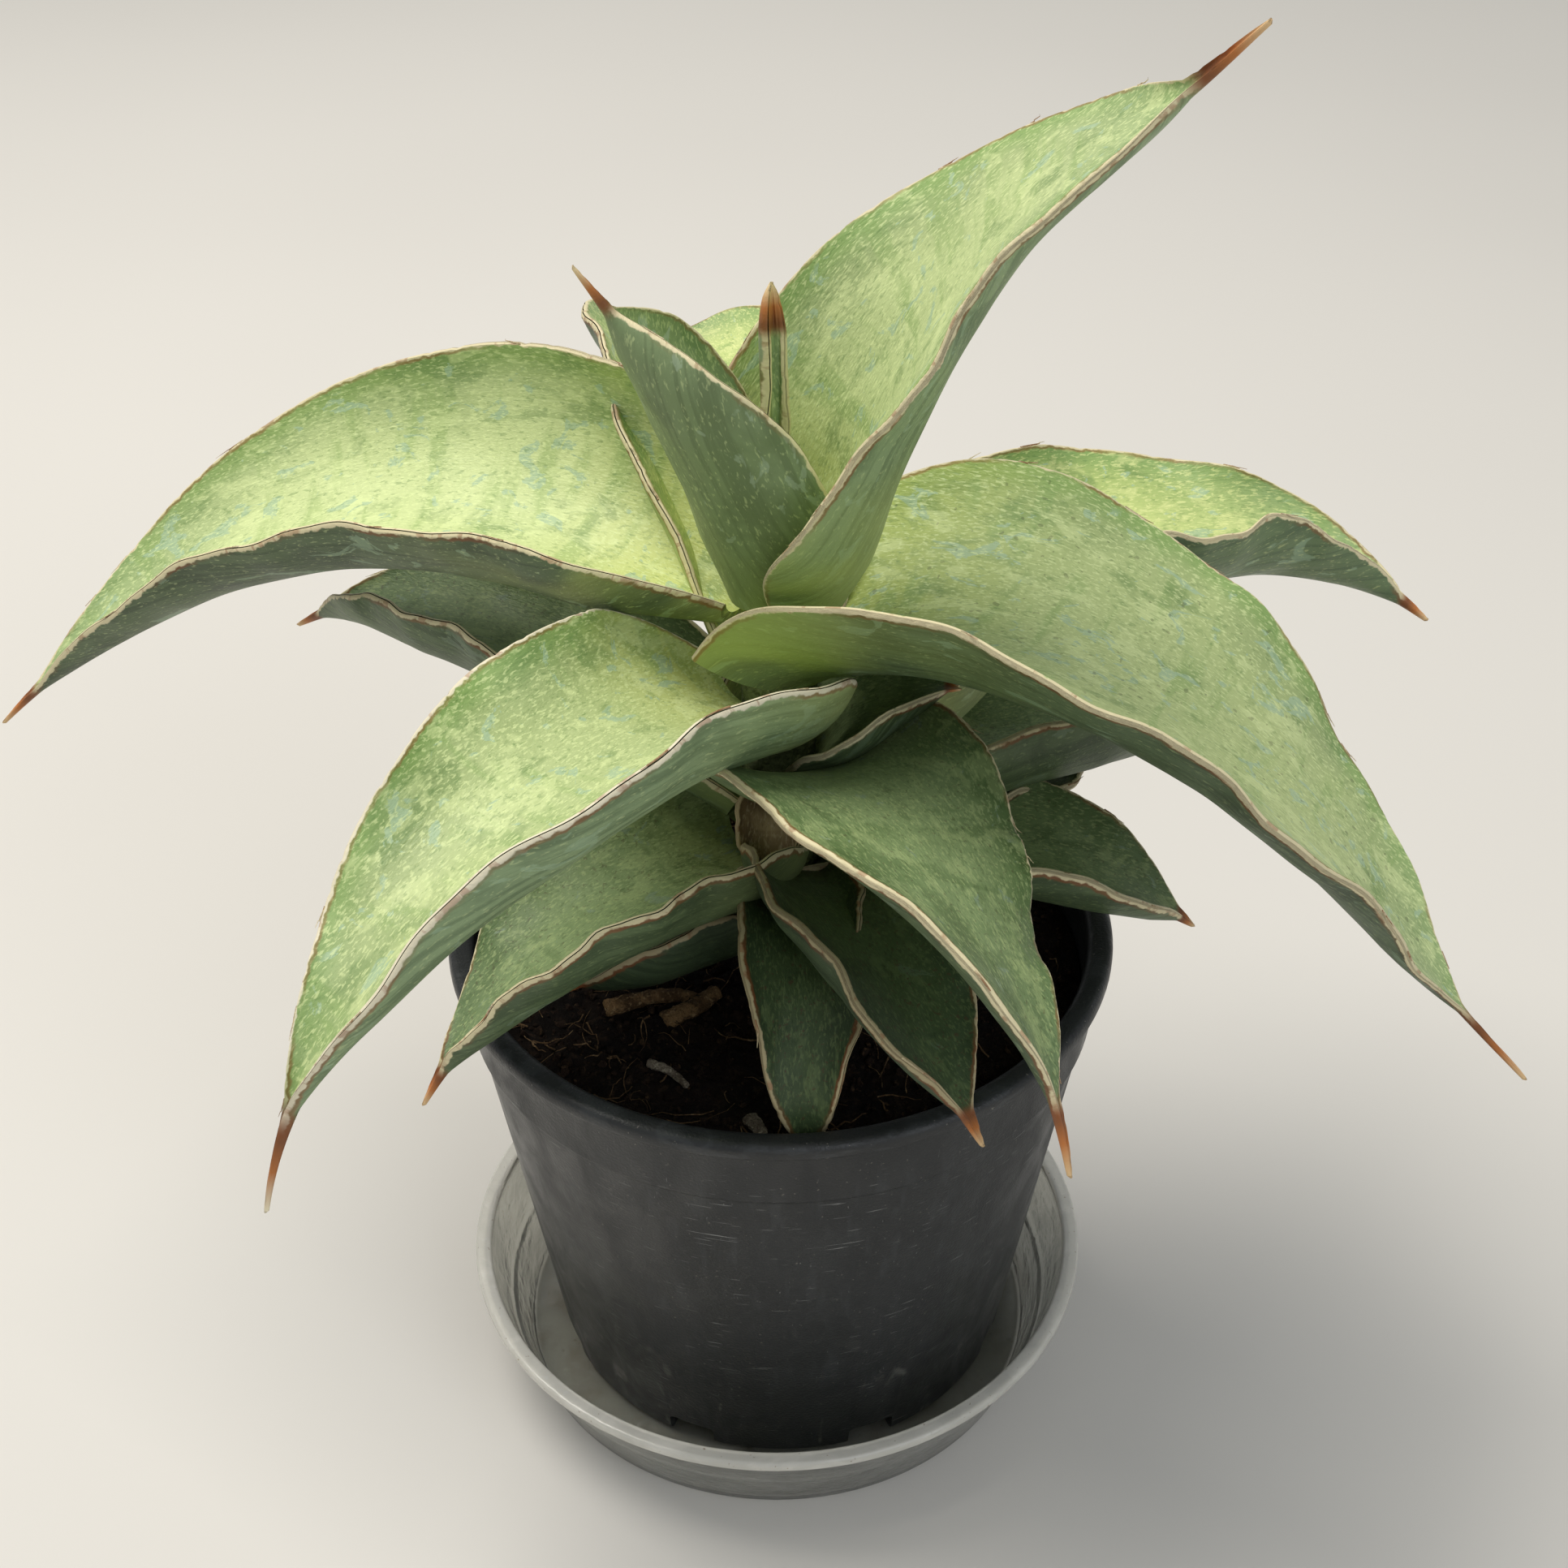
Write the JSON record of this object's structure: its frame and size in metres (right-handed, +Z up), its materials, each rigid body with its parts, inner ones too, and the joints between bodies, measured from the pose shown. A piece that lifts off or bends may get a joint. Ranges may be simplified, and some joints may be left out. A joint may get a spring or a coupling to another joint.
{
  "type": "potted snake plant",
  "caption": "Succulent rosette of thick channelled leaves on a short stem, in a black nursery pot of peat on a clear saucer.",
  "frame": {"origin": "on the saucer's flat underside, straight below the pot's axis", "axes": "+Z up along the pot's axis, -Y towards the front, where the saucer shows most"},
  "size_m": [0.2662, 0.2091, 0.2663],
  "materials": {
    "saucer_plastic": "clear, slightly hazy",
    "pot_plastic": "satin, dusty",
    "peat": "dark crumbly peat",
    "stem_flesh": "matt plant stem",
    "leaf_upper": "matt waxy leaf with pale mottling",
    "leaf_lower": "matt waxy dark leaf",
    "dry_bits": "dry fibrous"
  },
  "bodies": {
    "root": {"saucer": "saucer_plastic", "pot": "pot_plastic", "soil": "peat", "stem": "stem_flesh", "leaf_right_tall": "leaf_upper", "leaf_centre_spear": "leaf_upper", "leaf_bud": "leaf_upper", "leaf_left_top": "leaf_upper", "leaf_right_top": "leaf_upper", "leaf_front_left": "leaf_upper", "leaf_inner_sheath": "leaf_lower", "leaf_front_right": "leaf_lower", "leaf_right_back": "leaf_upper", "leaf_back": "leaf_upper", "leaf_left_back": "leaf_lower", "leaf_right_mid": "leaf_lower", "leaf_front_left_low": "leaf_lower", "leaf_front_right_low": "leaf_lower", "leaf_right_low": "leaf_lower", "leaf_right_back_low": "leaf_lower", "leaf_front_low": "leaf_lower", "leaf_back_low": "leaf_lower", "leaf_front_left_lowest": "leaf_lower", "dry_sheath_scale": "dry_bits", "root_stub_left": "dry_bits", "root_stub_right": "dry_bits", "twig": "dry_bits", "bark_chip": "dry_bits"}
  },
  "joints": []
}
